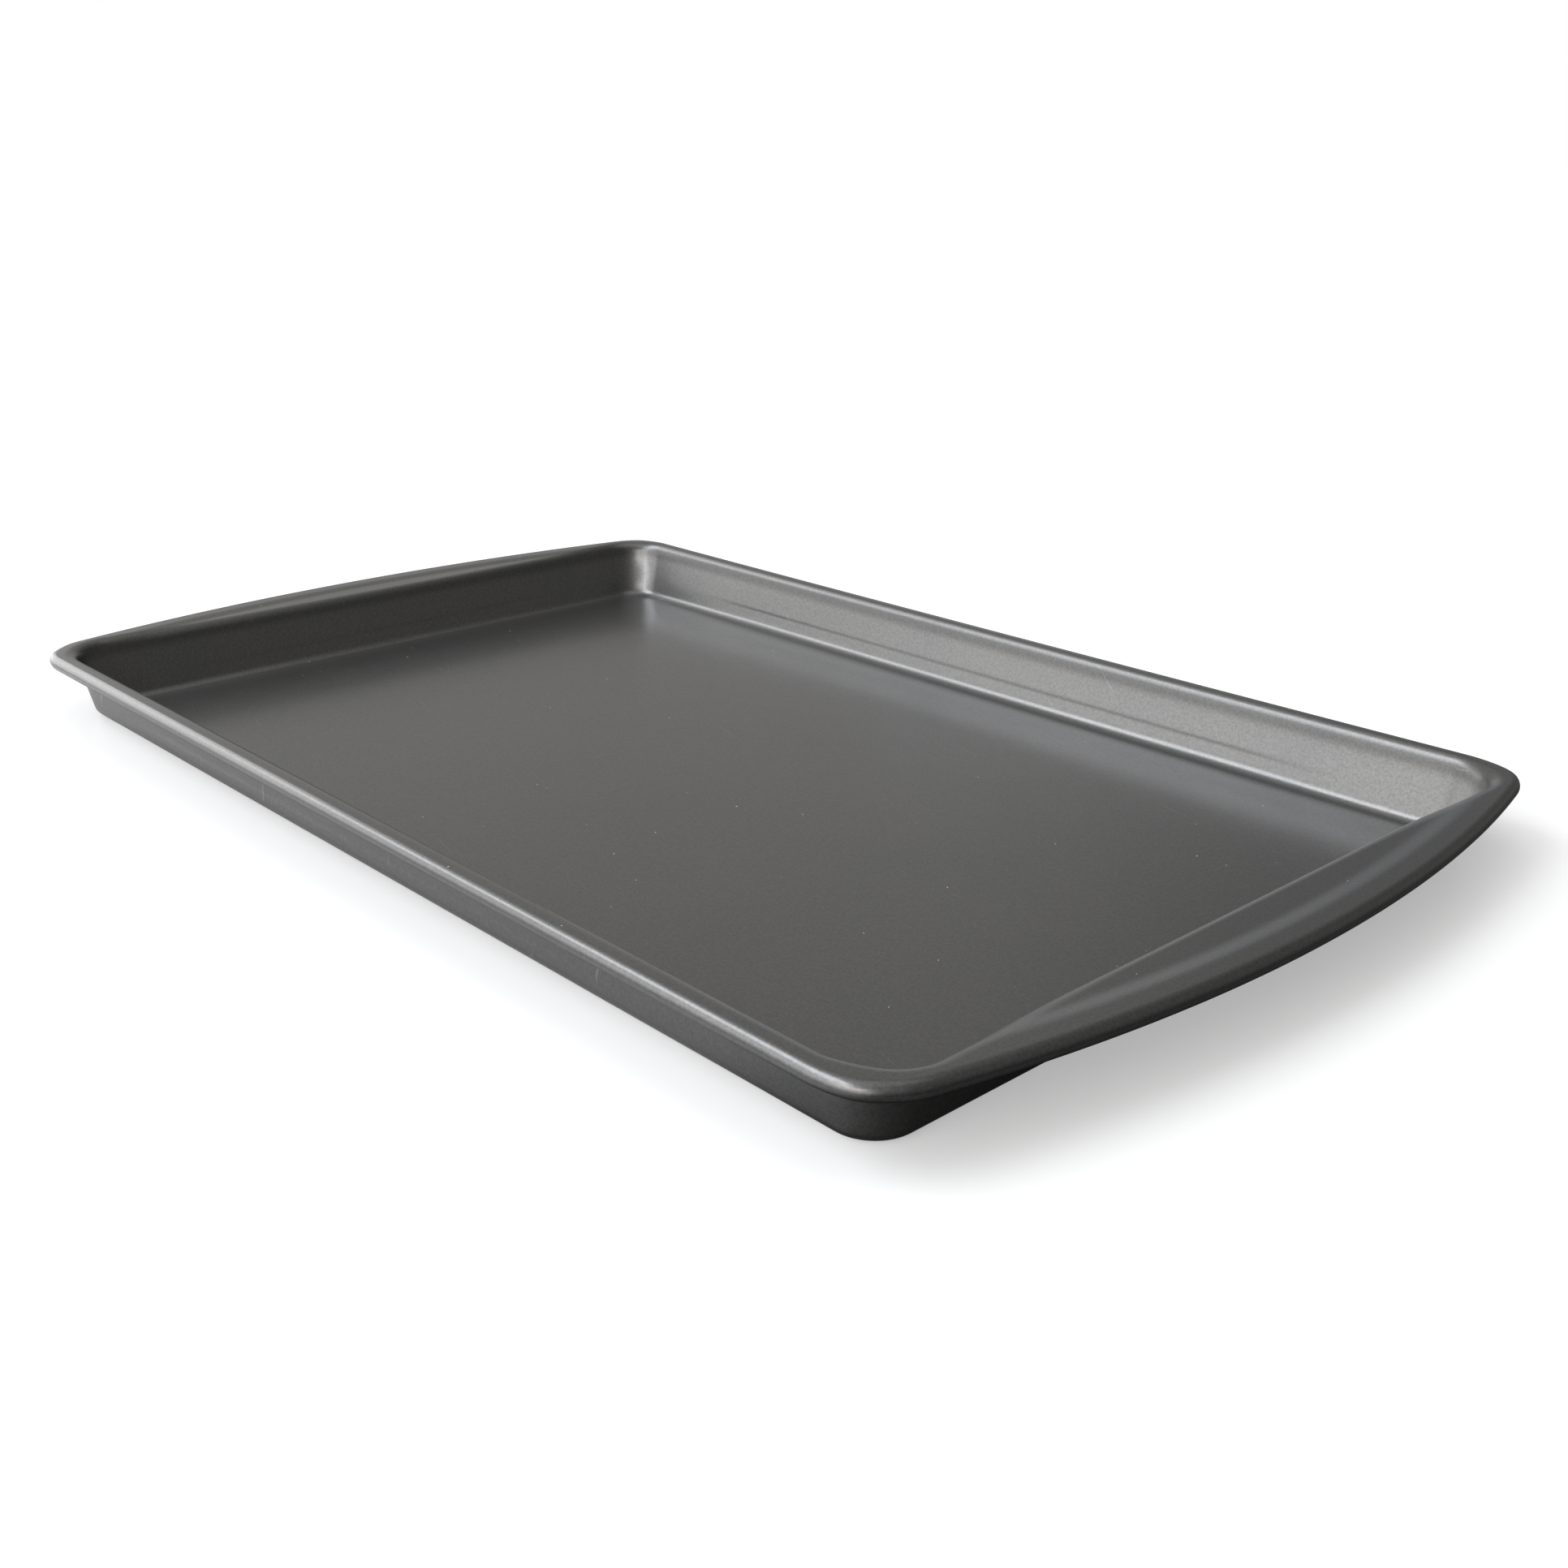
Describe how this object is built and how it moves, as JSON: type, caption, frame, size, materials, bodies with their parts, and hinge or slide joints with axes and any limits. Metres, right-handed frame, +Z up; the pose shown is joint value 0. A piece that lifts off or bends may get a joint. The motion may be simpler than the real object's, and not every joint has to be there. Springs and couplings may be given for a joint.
{
  "type": "jelly roll pan",
  "caption": "Shallow rectangular baking pan of coated sheet steel with rounded corners, crescent end handles and a rim curled around a wire hoop.",
  "frame": {"origin": "centre of the pan's underside, on the surface that it stands on", "axes": "+X along the length towards one handle, +Y across the width, +Z up out of the open side"},
  "size_m": [0.4762, 0.291, 0.0232],
  "materials": {
    "nonstick_steel": "satin dark grey non-stick coating",
    "wire_steel": "plain drawn steel wire"
  },
  "bodies": {
    "root": {"pan_shell": "nonstick_steel", "rim_wire": "wire_steel"}
  },
  "joints": []
}
